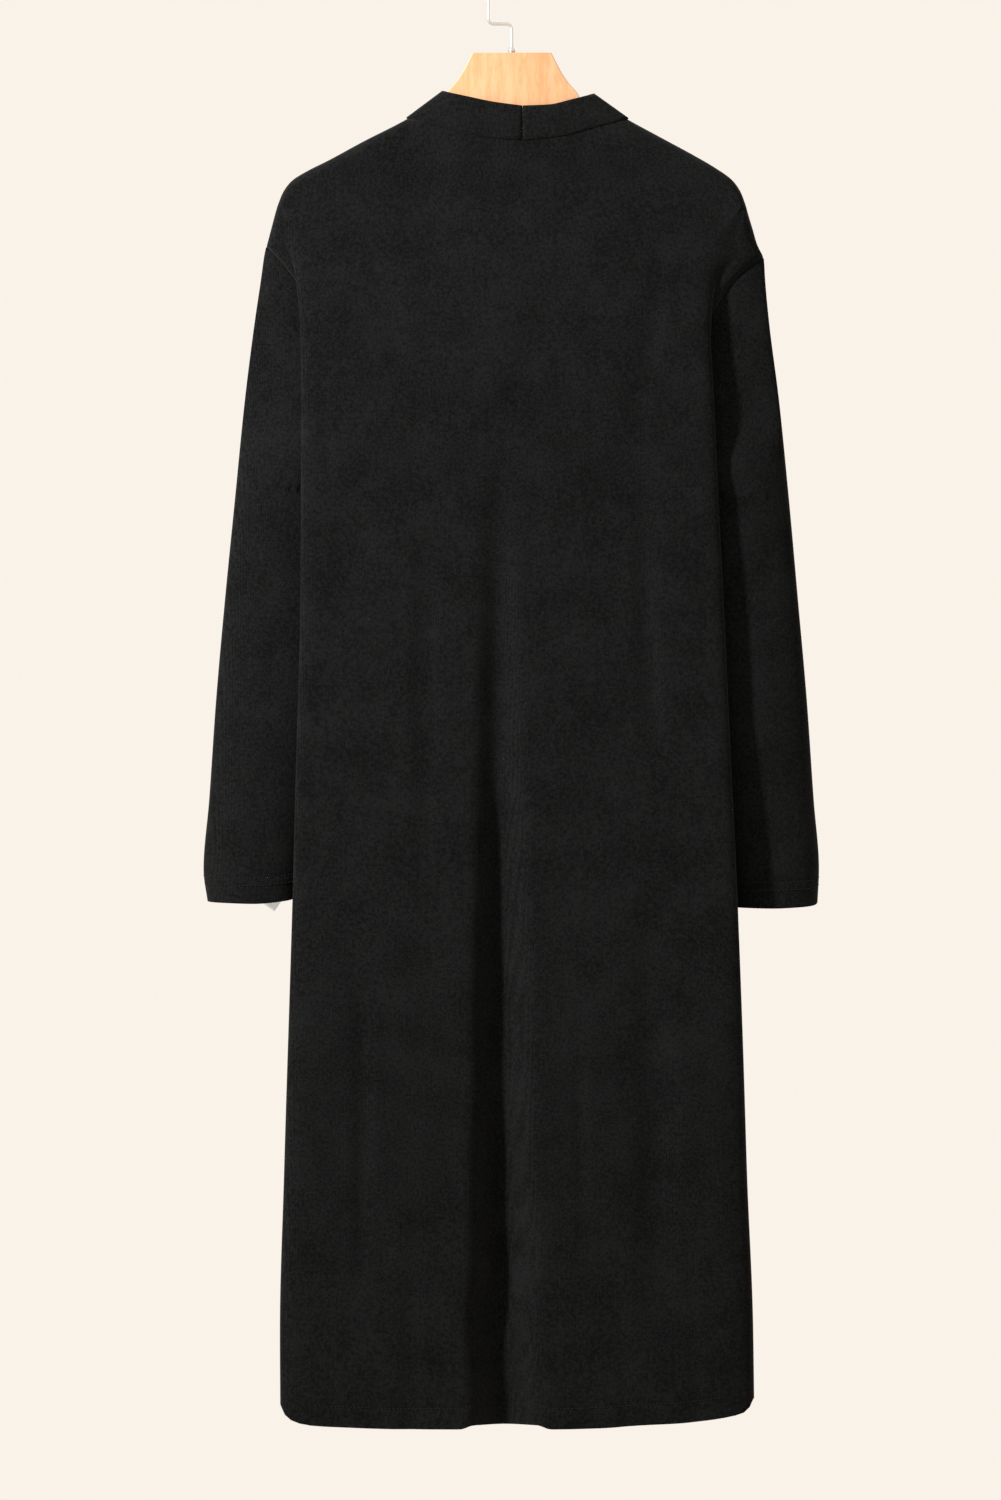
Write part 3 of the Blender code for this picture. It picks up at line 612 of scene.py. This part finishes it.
def edge_at(side, drop):
    """The panels' outer edge: out, half opening and middle depth."""
    if drop >= SHOULDER_POINT[side]:
        return tuple(follow(SIDE_SEAM[side], name, drop) for name in ("out", "half_opening", "mid"))
    line = sorted((getattr(row, side), row.out) for row in SHOULDER_LINE)
    return follow([ShoulderEnd(*pair) for pair in line], "out", drop), 0.2, 0.0


def wall_point(side, face, drop, share):
    """Round the side fold and in to the seam: out, and depth towards that face."""
    depth = follow(BODY_DEPTH, face, drop)
    start = bend_start(side, face, drop)
    tip = start + (fold_out(side, face, drop) - start) / 0.75
    inner = depth - 2.0 * follow(BODY_DEPTH, "bend", drop)
    seam_out, opening, mid = edge_at(side, drop)
    seam_depth = opening + (-mid if face == "back" else mid)
    turn_end = start + 0.6 * max(0.0, seam_out - start)
    if share < 0.5:
        return bezier([(start, depth), (tip, depth), (max(tip, turn_end - 4.0), inner), (turn_end, inner)],
                      share * 2.0)
    return bezier([(turn_end, inner), (blend(turn_end, seam_out, 0.55), inner),
                   (seam_out, blend(seam_depth, inner, 0.55)), (seam_out, seam_depth)], share * 2.0 - 1.0)


def stitched(distance, turn):
    """How far the cloth is drawn in at a turned hem, by distance from its edge."""
    row = -0.42 * math.exp(-((distance - turn) / 1.1) ** 2)
    return row + 0.22 * smooth_step((turn - distance) / 2.5)


def panel_point(side, face, flat, wall, row):
    """A point of the back or a front: flat 0 to 1 out to the side fold, wall 0 to 1
    from there round to the seam, row 0 to 1 down to the hem."""
    sign, flip = SIGN[side], (-1.0 if face == "back" else 1.0)
    kink = NECK_KINK[side][0]
    neck_share = 1.0 / 3.0 if face == "back" else 0.0
    inner_edge = (lambda drop: 0.0) if face == "back" else (lambda drop: follow(FRONT_EDGE, side, drop))
    if wall > 0.0:
        top_drop = blend(FOLD_START, SHOULDER_POINT[side], wall)
        end = follow(HEM_LINE, "drop", sign * wall_point(side, face, HEM_DROP, min(wall, 0.36))[0])
        drop = blend(top_drop, end, row)
        eased = wall + (1.0 - wall) * (1.0 - arch((drop - top_drop) / WALL_EASE))
        out, depth = wall_point(side, face, drop, eased)
        return sign * out, flip * depth, drop
    fold_top = edge_at(side, FOLD_START)[0]
    if flat < neck_share:
        top_out = kink * flat / neck_share
        top_drop = follow(NECK_SEAM, "drop", sign * top_out)
        top_depth = NECK_DEPTH * math.sqrt(max(0.0, 1.0 - (top_out / kink) ** NECK_ROUNDNESS))
    else:
        top_out = blend(kink, fold_top, (flat - neck_share) / (1.0 - neck_share))
        top_drop = FOLD_START if flat == 1.0 else follow(SHOULDER_LINE, side, top_out)
        top_depth = 0.0
    start = inner_edge(top_drop)
    top_share = (top_out - start) / (bend_start(side, face, top_drop) - start)
    end_x = sign * blend(inner_edge(HEM_DROP), bend_start(side, face, HEM_DROP), flat)
    end = follow(HEM_LINE, "drop", end_x)
    drop = blend(top_drop, end, row)
    fall = drop - top_drop
    share = blend(top_share, flat, smooth_step(fall / 160.0))
    out = blend(inner_edge(drop), bend_start(side, face, drop), share)
    x = sign * out
    calm = smooth_step(fall / 30.0) * smooth_step((1.0 - flat) / 0.1)
    if face == "front":
        calm *= smooth_step(flat / 0.1)
    ripple = RIPPLE * (uneven(x, drop, 34.0, 1.0 if face == "back" else 5.0)
                       + 0.5 * uneven(x, drop, 13.0, 9.0)) * calm
    depth = blend(top_depth, follow(BODY_DEPTH, face, drop), arch(fall))
    depth += ripple + stitched(end - drop, HEM_TURN) * calm - crease_depth(face, x, drop)
    return x, flip * depth, drop


def as_cloth(name, place, columns, rows, thickness, finish, closed=False, trim=None):
    """A grid laid out by place(u, v), with UVs in metres, thickened either side of it."""
    build = bmesh.new()
    bmesh.ops.create_grid(build, x_segments=columns, y_segments=rows, size=0.5)
    lay = {vertex: (vertex.co.x + 0.5, 0.5 - vertex.co.y) for vertex in build.verts}
    uv = build.loops.layers.uv.new("knit")
    for vertex, (u, v) in lay.items():
        x, y, drop = place(u, v)
        vertex.co = (x * MM, y * MM, -drop * MM)
    for face in build.faces:
        for loop in face.loops:
            loop[uv].uv = (loop.vert.co.x + 0.9 * loop.vert.co.y, loop.vert.co.z)
    if closed:
        bmesh.ops.remove_doubles(build, verts=[vertex for vertex, (u, v) in lay.items() if u in (0.0, 1.0)],
                                 dist=1e-5)
    bmesh.ops.recalc_face_normals(build, faces=build.faces)
    piece = as_piece(name, build, finish)
    solid = piece.modifiers.new("cloth", "SOLIDIFY")
    solid.thickness = thickness * MM
    solid.offset = 0.0
    if trim:
        view = bpy.context.evaluated_depsgraph_get()
        mesh = bpy.data.meshes.new_from_object(piece.evaluated_get(view))
        piece.modifiers.clear()
        piece.data = mesh
        for vertex in mesh.vertices:
            side = "left" if vertex.co.x < 0.0 else "right"
            middle = edge_at(side, -vertex.co.z / MM)[2]
            if trim == "back":
                vertex.co.y = min(vertex.co.y, (middle - SEAM_GAP / 2.0) * MM)
            else:
                vertex.co.y = max(vertex.co.y, (middle + SEAM_GAP / 2.0) * MM)
    return piece


def knit_finish(name, base, high):
    """Black brushed jersey: fine wales and courses under a short nap, a few pale specks of lint."""
    finish, shader, start = new_finish(name, Roughness=0.92, Sheen_Weight=0.03, Sheen_Roughness=0.5,
                                       Specular_IOR_Level=0.03)
    uv = start.node("ShaderNodeUVMap", {"uv_map": "knit"})
    place = start.node("ShaderNodeTexCoord", out=3)
    nap = start.node("ShaderNodeTexNoise", Vector=place, Scale=420.0, Detail=4.0, Roughness=0.75)
    cloud = start.node("ShaderNodeTexNoise", Vector=place, Scale=26.0, Detail=5.0, Roughness=0.6)
    turned = start.node("ShaderNodeMapping", Vector=uv, Scale=(1.0, 0.5, 1.0))
    wales = start.node("ShaderNodeTexWave", {"bands_direction": "X", "wave_profile": "SIN"}, 1,
                       Vector=turned, Scale=190.0, Distortion=1.6, Detail=2.0)
    courses = start.node("ShaderNodeTexWave", {"bands_direction": "Y", "wave_profile": "SIN"}, 1,
                         Vector=turned, Scale=300.0, Distortion=2.0, Detail=2.0)
    lint = start.node("ShaderNodeTexVoronoi", {"feature": "F1"}, 0, Vector=place, Scale=46.0)
    speck = (1.0 - lint.stepped(0.016, 0.034)) * cloud.stepped(0.50, 0.58)
    tone = (nap * 0.7 + cloud * 0.24 + wales * 0.06).stepped(0.36, 0.64)
    plug(shader, "Base Color", (speck * 0.35).mixed(tone.mixed(base, high), (0.05, 0.05, 0.05, 1.0)))
    plug(shader, "Roughness", 0.86 + nap * 0.14)
    height = wales * 0.16 + courses * 0.12 + nap * 0.8
    plug(shader, "Normal", start.node("ShaderNodeBump", Strength=0.55, Distance=0.0005, Height=height))
    return finish


knit = knit_finish("brushed_knit", (0.0013, 0.0014, 0.0015, 1.0), (0.0062, 0.0065, 0.0069, 1.0))

# The back is one piece, cut wide to the dropped shoulders. It falls from the
# hanger and turns round to the side seams, with one deep fold off centre.
BACK_FLAT, BACK_WALL, PANEL_ROWS = 48, 18, 210


def down(v):
    """Rows closer together at the shoulder and at the hem."""
    return v - 0.9 * math.sin(2.0 * math.pi * v) / (2.0 * math.pi)


def back_place(u, v):
    step = round((u - 0.5) * 2 * (BACK_FLAT + BACK_WALL))
    side = "left" if step < 0 else "right"
    flat = min(abs(step), BACK_FLAT) / BACK_FLAT
    wall = max(abs(step) - BACK_FLAT, 0) / BACK_WALL
    return panel_point(side, "back", flat, wall, down(v))


back = as_cloth("cardigan_back", back_place, 2 * (BACK_FLAT + BACK_WALL), PANEL_ROWS, CLOTH, knit,
                trim="back")
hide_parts("back")


# Each front runs from its own side seam to the edge where the band is sewn
# on. The two hang apart, and their cloth gathers in deeper folds.
FRONT_FLAT, FRONT_WALL = 44, 18


def front_place(side):
    def place(u, v):
        step = round(u * (FRONT_FLAT + FRONT_WALL))
        flat = min(step, FRONT_FLAT) / FRONT_FLAT
        wall = max(step - FRONT_FLAT, 0) / FRONT_WALL
        return panel_point(side, "front", flat, wall, down(v))
    return place


for side in ("left", "right"):
    front = as_cloth("cardigan_front_" + side, front_place(side), FRONT_FLAT + FRONT_WALL, PANEL_ROWS,
                     CLOTH, knit, trim="front")
    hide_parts("front_" + side)


# The sleeves are straight tubes, set into the armholes with a dropped seam.
# They hang flat beside the body and end in a turned cuff with two rows of stitching.
Sleeve = namedtuple("Sleeve", "drop left right half_depth forward clear")
SLEEVE_LINE = [
    Sleeve(234.0, 208.6, 209.0, 0.0, 0.0, 1.0),
    Sleeve(243.0, 210.4, 213.8, 4.0, 0.0, 1.0),
    Sleeve(264.0, 213.3, 215.2, 8.0, 0.0, 0.85),
    Sleeve(300.0, 218.6, 218.6, 12.0, 0.0, 0.75),
    Sleeve(366.0, 226.9, 227.0, 15.0, 0.0, 1.3),
    Sleeve(451.0, 235.4, 235.5, 16.0, 0.0, 5.0),
    Sleeve(536.0, 243.9, 243.2, 16.5, 2.5, 4.6),
    Sleeve(621.0, 251.5, 250.8, 17.5, 6.0, 4.2),
    Sleeve(706.0, 257.5, 256.8, 19.0, 10.5, 5.0),
    Sleeve(765.0, 262.4, 261.4, 20.0, 14.5, 7.0),
    Sleeve(793.0, 258.9, 260.2, 19.5, 16.0, 7.6),
]
CUFF_DROP = {"left": 794.3, "right": 798.3}
Cuff = namedtuple("Cuff", "share left right")
CUFF_RISE = [
    Cuff(0.00, 2.4, 6.0),
    Cuff(0.12, 1.6, 2.8),
    Cuff(0.30, 0.7, 1.0),
    Cuff(0.50, 0.0, 0.0),
    Cuff(0.72, 2.2, 0.6),
    Cuff(0.86, 5.0, 1.4),
    Cuff(1.00, 13.0, 2.6),
]
TIP_BLEND = 60.0
ARMHOLE_LEAST = 2.0
SLEEVE_DROP = 0.9
SLEEVE_HALF, SLEEVE_ROWS = 44, 170

# A fold on a sleeve: across is the share of the way in from its outer line,
# its change from top to bottom slants it, and a negative depth is a ridge.
Pull = namedtuple("Pull", "side face top bottom across_top across_bottom width depth")
PULLS = [
    Pull("right", "back", 246.0, 330.0, 0.52, 0.22, 0.09, 1.3),
    Pull("right", "back", 300.0, 470.0, 0.60, 0.50, 0.16, 1.8),
    Pull("right", "back", 420.0, 640.0, 0.44, 0.52, 0.14, 1.6),
    Pull("right", "back", 640.0, 780.0, 0.56, 0.50, 0.14, 1.2),
    Pull("left", "back", 260.0, 420.0, 0.40, 0.56, 0.16, 1.7),
    Pull("left", "back", 400.0, 600.0, 0.55, 0.46, 0.15, 1.5),
    Pull("left", "back", 560.0, 770.0, 0.40, 0.52, 0.15, 1.4),
    Pull("left", "front", 280.0, 470.0, 0.58, 0.46, 0.16, 1.8),
    Pull("left", "front", 450.0, 700.0, 0.42, 0.54, 0.16, 1.7),
    Pull("right", "front", 280.0, 480.0, 0.42, 0.56, 0.16, 1.8),
    Pull("right", "front", 470.0, 720.0, 0.56, 0.44, 0.16, 1.7),
]


def pulled(side, face, share, drop):
    total = 0.0
    for pull in PULLS:
        if (pull.side, pull.face) != (side, face) or not pull.top < drop < pull.bottom:
            continue
        along = (drop - pull.top) / (pull.bottom - pull.top)
        away = (share - blend(pull.across_top, pull.across_bottom, along)) / pull.width
        total += pull.depth * math.exp(-away * away) * math.sin(math.pi * along)
    return total


def cuff_edge(side, share):
    return CUFF_DROP[side] - follow(CUFF_RISE, side, share)


def sleeve_point(side, share, drop, face, seam):
    """A point of the sleeve's section at a height, from its outer line inwards."""
    outer = follow(SLEEVE_LINE, side, drop)
    seam_out, opening, _ = edge_at(side, min(drop, HEM_DROP))
    half_depth = follow(SLEEVE_LINE, "half_depth", drop)
    inner = seam_out + follow(SLEEVE_LINE, "clear", drop)
    closing = smooth_step((drop - UNDERARM_DROP[side] + 1.25 * TIP_BLEND) / TIP_BLEND)
    across = blend(1.0 - math.cos(share * math.pi / 2.0), 0.5 - 0.5 * math.cos(share * math.pi), closing)
    if drop < UNDERARM_DROP[side]:
        opening = max(opening, min(ARMHOLE_LEAST, 0.2 * (drop - SHOULDER_POINT[side])))
    else:
        opening = 0.0
    depth = opening * math.sin(share * math.pi / 2.0) + half_depth * closing * math.sin(share * math.pi)
    calm = math.sin(math.pi * share) * smooth_step(seam / 26.0) * closing
    depth += calm * (RIPPLE * uneven(SIGN[side] * share * 90.0, drop, 30.0, 13.0)
                     - pulled(side, face, share, drop)
                     + 1.4 * stitched(cuff_edge(side, share) - drop, CUFF_TURN))
    flip = -1.0 if face == "back" else 1.0
    return SIGN[side] * blend(outer, inner, across), flip * depth + follow(SLEEVE_LINE, "forward", drop)


def sleeve_place(side):
    def place(u, v):
        step = round((u - 0.5) * 2 * SLEEVE_HALF)
        face = "back" if step <= 0 else "front"
        share = abs(step) / SLEEVE_HALF
        along = 0.5 - 0.5 * math.cos(share * math.pi)
        start = blend(SHOULDER_POINT[side] + SLEEVE_DROP, UNDERARM_DROP[side] + 3.0 * SLEEVE_DROP, along)
        drop = blend(start, cuff_edge(side, share), v - 0.7 * math.sin(2 * math.pi * v) / (2 * math.pi))
        reach = 1.0
        if drop < UNDERARM_DROP[side]:
            span = (drop - SHOULDER_POINT[side]) / (UNDERARM_DROP[side] - SHOULDER_POINT[side])
            reach = math.acos(max(-1.0, min(1.0, 1.0 - 2.0 * span))) / math.pi
        part = 1.0 if v == 0.0 or reach <= 0.0 else min(share / reach, 1.0)
        x, y = sleeve_point(side, part, drop, face, drop - start)
        return x, y, drop
    return place


for side in ("left", "right"):
    sleeve = as_cloth("cardigan_sleeve_" + side, sleeve_place(side), 2 * SLEEVE_HALF, SLEEVE_ROWS,
                      CLOTH, knit, closed=True)
    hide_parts("sleeve_" + side)


# The band is doubled cloth, 38 mm wide. It stands up round the back neck,
# joined at centre back, and runs down both front edges to the hem.
FreeEdge = namedtuple("FreeEdge", "share left_x left_drop right_x right_drop")
BAND_TOP = [
    FreeEdge(0.00, 9.0, 114.8, 9.0, 114.8),
    FreeEdge(0.35, -15.0, 111.6, 31.0, 113.9),
    FreeEdge(0.70, -40.3, 106.4, 52.0, 109.2),
    FreeEdge(1.00, -58.6, 102.7, 69.4, 105.0),
]
BAND_TOP_DEPTH = 9.5
BAND_ACROSS, BAND_NECK, BAND_DOWN = 10, 44, 240


def band_place(side):
    sign = SIGN[side]
    kink_out, kink_drop = NECK_KINK[side]
    first = sign * 0.5 * SEAM_GAP + CENTRE_BACK
    lift = SEAM_GAP + 0.6

    def neck(share, across):
        x = blend(first, sign * kink_out, share)
        depth = NECK_DEPTH * math.sqrt(max(0.0, 1.0 - min(abs(x) / kink_out, 1.0) ** NECK_ROUNDNESS))
        lean = BAND_TOP_DEPTH * math.sqrt(max(0.0, 1.0 - share ** NECK_ROUNDNESS))
        parting = sign * 0.5 * SEAM_GAP * (1.0 - smooth_step(share * 3.0))
        top_x = follow(BAND_TOP, side + "_x", share) + parting
        rise = blend(0.35, lift, smooth_step((abs(x) / kink_out - 0.86) / 0.12))
        seam = (x, -depth, follow(NECK_SEAM, "drop", x) - rise)
        free = (top_x, -lean, follow(BAND_TOP, side + "_drop", share))
        return tuple(blend(seam[k], free[k], across) for k in range(3))

    def front(fall, across):
        drop = kink_drop + fall
        slant = math.radians(follow(FRONT_EDGE, "slant", drop))
        out = follow(FRONT_EDGE, side, drop) - (SEAM_GAP + CLOTH * 0.5)
        depth = follow(BODY_DEPTH, "front", drop) * arch(fall)
        seam = (sign * out, depth, drop - lift * math.sin(slant))
        free = (sign * (out - BAND_WIDTH * math.cos(slant)), depth, drop - BAND_WIDTH * math.sin(slant))
        if fall < 2.0:
            start = neck(1.0, 0.0)[:1] + (0.0, kink_drop - lift)
            end = (follow(BAND_TOP, side + "_x", 1.0), 0.0, follow(BAND_TOP, side + "_drop", 1.0))
            seam = tuple(blend(start[k], seam[k], fall / 2.0) for k in range(3))
            free = tuple(blend(end[k], free[k], fall / 2.0) for k in range(3))
        calm = smooth_step(fall / 60.0) * math.sin(math.pi * across)
        soft = RIPPLE * 1.2 * calm * uneven(9.0, drop, 26.0, 21.0)
        point = [blend(seam[k], free[k], across) for k in range(3)]
        point[1] += soft
        return tuple(point)

    def place(u, v):
        row = round(v * (BAND_NECK + BAND_DOWN))
        if row <= BAND_NECK:
            near = row / BAND_NECK
            return neck(1.0 - (1.0 - near) ** 2.2 if near < 1.0 else 1.0, u)
        fall = (row - BAND_NECK) / BAND_DOWN
        length = HEM_DROP - kink_drop
        x, y, drop = front(length * (0.12 * fall + 0.88 * fall ** 2.0), u)
        return x, y, min(drop, HEM_DROP) if fall < 1.0 else HEM_DROP

    return place


for side in ("left", "right"):
    band = as_cloth("cardigan_band_" + side, band_place(side), BAND_ACROSS, BAND_NECK + BAND_DOWN,
                    BAND_CLOTH, knit)
    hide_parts("band_" + side)


# Black thread holds the turned edges: one row of stitches along the hem and
# two close rows round each cuff. They lie sunk into the nap of the knit.
STITCH_LENGTH = 2.4
STITCH_PITCH = 3.3
THREAD = 0.28
THREAD_SIDES = 6
CUFF_STITCH = (CUFF_TURN, 15.5)

thread_finish, shader, start = new_finish("black_thread", Roughness=0.7, Specular_IOR_Level=0.1)
place = start.node("ShaderNodeTexCoord", out=3)
twist = start.node("ShaderNodeTexNoise", Vector=place, Scale=2600.0, Detail=2.0)
plug(shader, "Base Color", twist.mixed((0.003, 0.003, 0.0034, 1.0), (0.012, 0.012, 0.0125, 1.0)))


def add_stitches(build, line):
    """Short straight threads along a line of points that stands on the cloth."""
    travelled, due = 0.0, STITCH_PITCH * 0.5
    for before, after in zip(line, line[1:]):
        step = (after - before).length
        while due < travelled + step:
            middle = before.lerp(after, (due - travelled) / step)
            way = (after - before).normalized()
            made = bmesh.ops.create_cone(build, cap_ends=True, segments=THREAD_SIDES, radius1=THREAD * MM,
                                         radius2=THREAD * MM, depth=STITCH_LENGTH * MM)
            turn = way.to_track_quat("Z", "Y")
            for vertex in made["verts"]:
                vertex.co = turn @ vertex.co + middle * MM
            due += STITCH_PITCH
        travelled += step


def on_panel(side, face, flat, drop):
    """The outer surface of a panel at a height: its point in millimetres."""
    low, high = 0.8, 1.0
    for _ in range(24):
        middle = 0.5 * (low + high)
        if panel_point(side, face, flat, 0.0, middle)[2] < drop:
            low = middle
        else:
            high = middle
    x, y, found = panel_point(side, face, flat, 0.0, high)
    return Vector((x, y + (-1.0 if face == "back" else 1.0) * (CLOTH * 0.5 + THREAD * 1.05), -found))


def hem_row(side, face, first, last, count):
    line = []
    for k in range(count + 1):
        flat = blend(first, last, k / count)
        edge = panel_point(side, face, flat, 0.0, 1.0)
        line.append(on_panel(side, face, flat, edge[2] - HEM_TURN))
    return line


build = bmesh.new()
add_stitches(build, hem_row("left", "back", 0.98, 0.0, 60))
add_stitches(build, hem_row("right", "back", 0.0, 0.98, 60))
as_piece("hem_stitches_back", build, thread_finish)
for side in ("left", "right"):
    build = bmesh.new()
    add_stitches(build, hem_row(side, "front", 0.04, 0.98, 50))
    as_piece("hem_stitches_front_" + side, build, thread_finish)


def cuff_row(side, face, rise):
    line = []
    for k in range(41):
        share = blend(0.03, 0.97, k / 40.0)
        drop = cuff_edge(side, share) - rise
        x, y = sleeve_point(side, share, drop, face, 400.0)
        flip = -1.0 if face == "back" else 1.0
        x2, y2 = sleeve_point(side, share + 0.01, drop, face, 400.0)
        normal = Vector((-(y2 - y), x2 - x, 0.0)).normalized()
        if normal.y * flip < 0.0:
            normal.negate()
        line.append(Vector((x, y, -drop)) + normal * (CLOTH * 0.5 + THREAD * 1.05))
    return line


for side in ("left", "right"):
    build = bmesh.new()
    for rise in CUFF_STITCH:
        for face in ("back", "front"):
            add_stitches(build, cuff_row(side, face, rise))
    as_piece("cuff_stitches_" + side, build, thread_finish)


# The care label is a blank strip of white satin. It is sewn into the side
# seam, leans out past the cuff and curls towards the front. Its finish glows
# faintly: painted light that keeps it bright where the sleeve shades it.
LABEL_WIDTH = 24.0
LABEL_LENGTH = 54.0
LABEL_THICKNESS = 1.0
LABEL_ROOT = (-172.35, 20.5, 757.0)
LABEL_LEAN = math.radians(55.0)

# The emission is painted light: a faint glow on the satin, though it is no lamp.
satin, shader, start = new_finish("label_satin_painted_glow", Roughness=0.42, Sheen_Weight=0.2, Emission_Strength=0.22,
                                  Emission_Color=(1.0, 0.98, 0.97, 1.0))
place = start.node("ShaderNodeTexCoord", out=3)
thread = start.node("ShaderNodeTexNoise", Vector=place, Scale=900.0, Detail=3.0)
plug(shader, "Base Color", thread.mixed((0.80, 0.81, 0.84, 1.0), (0.88, 0.89, 0.92, 1.0)))
plug(shader, "Normal", start.node("ShaderNodeBump", Strength=0.3, Distance=0.0002, Height=thread))


def label_place(u, v):
    length, width = LABEL_LENGTH * v, LABEL_WIDTH * u
    x = LABEL_ROOT[0] - math.cos(LABEL_LEAN) * length - math.sin(LABEL_LEAN) * width
    drop = LABEL_ROOT[2] + math.sin(LABEL_LEAN) * length - math.cos(LABEL_LEAN) * width
    reach = min((LABEL_ROOT[0] - x) / 30.0, 1.0)
    wave = 0.5 * math.sin(math.pi * v) * math.sin(2.0 * math.pi * u)
    return x, LABEL_ROOT[1] + 19.0 * (1.0 - (1.0 - reach) ** 2) + wave, drop


label = as_cloth("care_label_satin", label_place, 14, 30, LABEL_THICKNESS, satin)
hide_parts("care_label")
